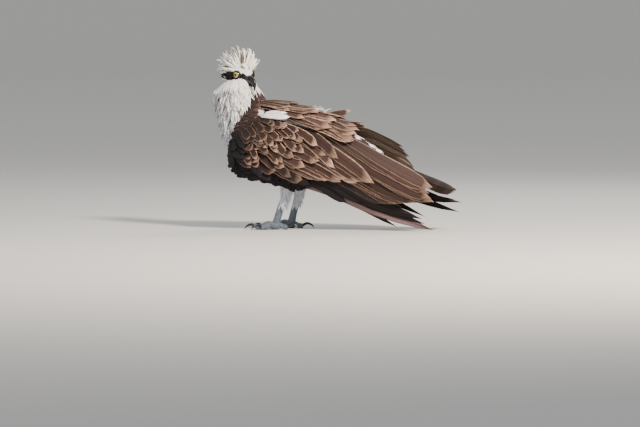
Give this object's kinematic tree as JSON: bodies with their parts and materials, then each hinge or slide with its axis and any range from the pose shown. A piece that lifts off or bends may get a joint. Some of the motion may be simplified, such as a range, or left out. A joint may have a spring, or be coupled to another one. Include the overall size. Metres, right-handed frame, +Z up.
{
  "type": "osprey",
  "caption": "Standing osprey with folded wings, its ruffled head turned to look back over one shoulder, as a still life-size figure.",
  "frame": {"origin": "middle of the footprint at the level of the soles", "axes": "+Z up; the bird's breast faces -X and its tail +X; its left side faces -Y"},
  "size_m": [0.5306, 0.1696, 0.3855],
  "materials": {
    "white_plumage": "soft matt feathers, off-white",
    "brown_plumage": "matt brown feathers with paler fringes",
    "dark_plumage": "dark brown barred tail feathers",
    "horn": "black horn, smooth and slightly glossy",
    "eye": "wet yellow iris round a black pupil",
    "scaled_skin": "grey-blue scaled skin of the legs and toes"
  },
  "bodies": {
    "root": {"torso": "white_plumage", "head": "white_plumage", "neck": "white_plumage", "bill_upper": "horn", "bill_lower": "horn", "eye_left": "eye", "eye_right": "eye", "wing_left": "brown_plumage", "wing_right": "brown_plumage", "tail": "dark_plumage", "thigh_left": "white_plumage", "thigh_right": "white_plumage", "foot_left": "scaled_skin", "foot_right": "scaled_skin", "claw_left_inner": "horn", "claw_left_middle": "horn", "claw_left_outer": "horn", "claw_left_hind": "horn", "claw_right_inner": "horn", "claw_right_middle": "horn", "claw_right_outer": "horn", "claw_right_hind": "horn"}
  },
  "joints": []
}
